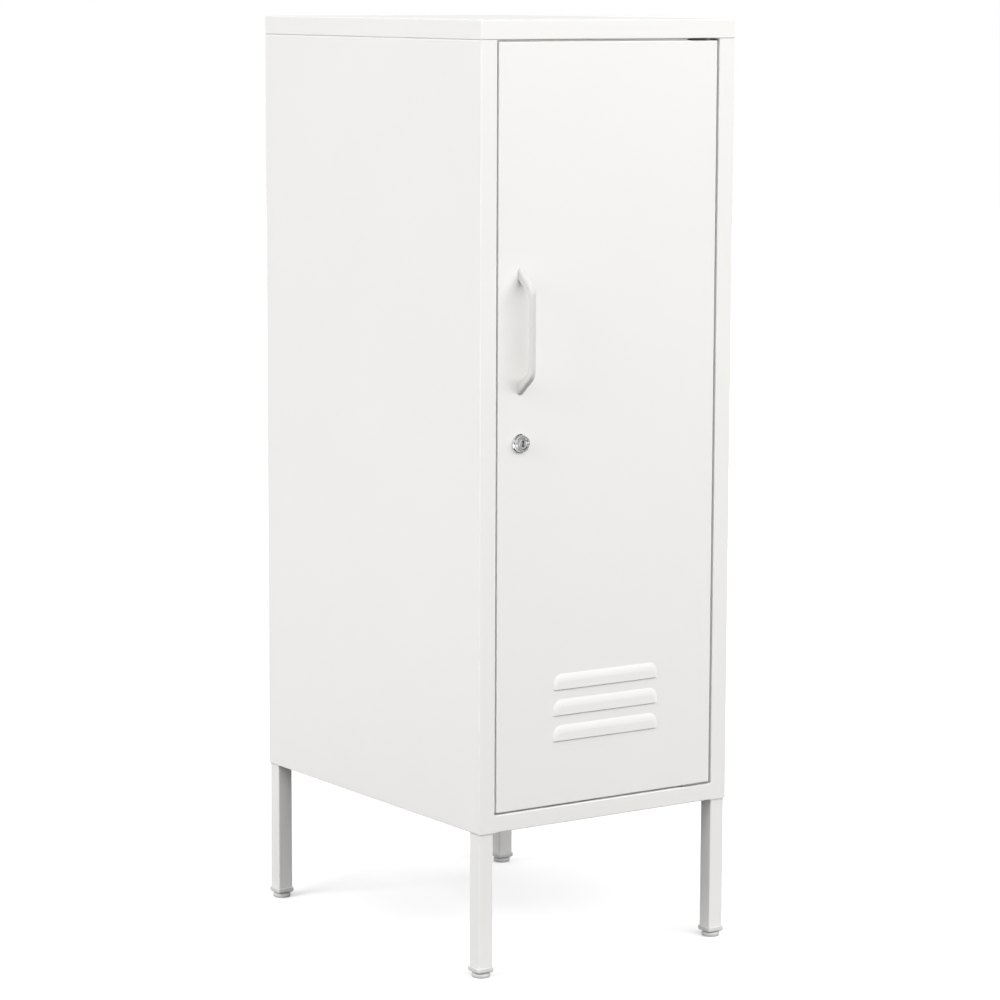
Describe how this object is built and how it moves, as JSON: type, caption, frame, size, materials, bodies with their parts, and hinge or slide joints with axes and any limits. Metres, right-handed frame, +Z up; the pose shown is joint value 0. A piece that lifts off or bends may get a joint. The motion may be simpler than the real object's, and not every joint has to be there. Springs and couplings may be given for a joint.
{
  "type": "mini locker",
  "caption": "Tall narrow sheet-steel mini locker on square tube legs, with a flush louvred door, bow handle and cam lock over a shelved inside.",
  "frame": {"origin": "middle of the overall bounding box, handle included, on the floor under the feet", "axes": "+Z up, front with the door and handle towards -Y, +X to the viewer's right when facing the front"},
  "size_m": [0.35, 0.486, 1.075],
  "materials": {
    "white_paint": "satin white powder coat",
    "handle_paint": "satin white coat",
    "lock_chrome": "bright chrome",
    "zinc_steel": "zinc plated",
    "plug_plastic": "moulded",
    "foot_plastic": "moulded",
    "bush_nylon": "moulded",
    "buffer_rubber": "matte"
  },
  "bodies": {
    "cabinet": {"back_panel": "white_paint", "back_screws": "zinc_steel", "cap_screws": "zinc_steel", "door_buffers": "buffer_rubber", "floor_panel": "white_paint", "hinge_pin_lower": "white_paint", "hinge_pin_upper": "white_paint", "leg_bolts": "zinc_steel", "leg_front_left": "white_paint", "leg_front_right": "white_paint", "leg_plug_front_left": "plug_plastic", "leg_plug_front_right": "plug_plastic", "leg_plug_rear_left": "plug_plastic", "leg_plug_rear_right": "plug_plastic", "leg_rear_left": "white_paint", "leg_rear_right": "white_paint", "rail_screws": "zinc_steel", "shelf_clips": "zinc_steel", "shelf_upright_front_left": "white_paint", "shelf_upright_front_right": "white_paint", "shelf_upright_rear_left": "white_paint", "shelf_upright_rear_right": "white_paint", "side_panel_left": "white_paint", "side_panel_right": "white_paint", "top_panel": "white_paint"},
    "door": {"door_skin": "white_paint", "door_stiffener": "white_paint", "hinge_bush_upper": "bush_nylon", "hinge_bush_lower": "bush_nylon", "handle": "handle_paint", "handle_screws": "zinc_steel", "lock_body": "lock_chrome", "lock_nut": "zinc_steel"},
    "lock_core": {"lock_plug": "lock_chrome", "lock_cam": "zinc_steel", "lock_cam_screw": "zinc_steel"},
    "shelf": {"shelf": "white_paint"},
    "levelling_foot_front_left": {"levelling_foot_front_left": "foot_plastic"},
    "levelling_foot_front_right": {"levelling_foot_front_right": "foot_plastic"},
    "levelling_foot_rear_left": {"levelling_foot_rear_left": "foot_plastic"},
    "levelling_foot_rear_right": {"levelling_foot_rear_right": "foot_plastic"}
  },
  "joints": [
    {"name": "door_swing", "type": "hinge", "parent": "cabinet", "child": "door", "pos_m": [0.139, -0.2105, 0.62], "axis": [0, 0, 1], "range_deg": [0, 110]},
    {"name": "lock_turn", "type": "hinge", "parent": "door", "child": "lock_core", "pos_m": [-0.121, -0.217, 0.607], "axis": [0, 1, 0], "range_deg": [0, 90]},
    {"name": "shelf_lift", "type": "slide", "parent": "cabinet", "child": "shelf", "axis": [0, 0, 1], "range_m": [0, 0.03]},
    {"name": "foot_screw_front_left", "type": "slide", "parent": "cabinet", "child": "levelling_foot_front_left", "axis": [0, 0, -1], "range_m": [0, 0.012]},
    {"name": "foot_screw_front_right", "type": "slide", "parent": "cabinet", "child": "levelling_foot_front_right", "axis": [0, 0, -1], "range_m": [0, 0.012]},
    {"name": "foot_screw_rear_left", "type": "slide", "parent": "cabinet", "child": "levelling_foot_rear_left", "axis": [0, 0, -1], "range_m": [0, 0.012]},
    {"name": "foot_screw_rear_right", "type": "slide", "parent": "cabinet", "child": "levelling_foot_rear_right", "axis": [0, 0, -1], "range_m": [0, 0.012]}
  ]
}
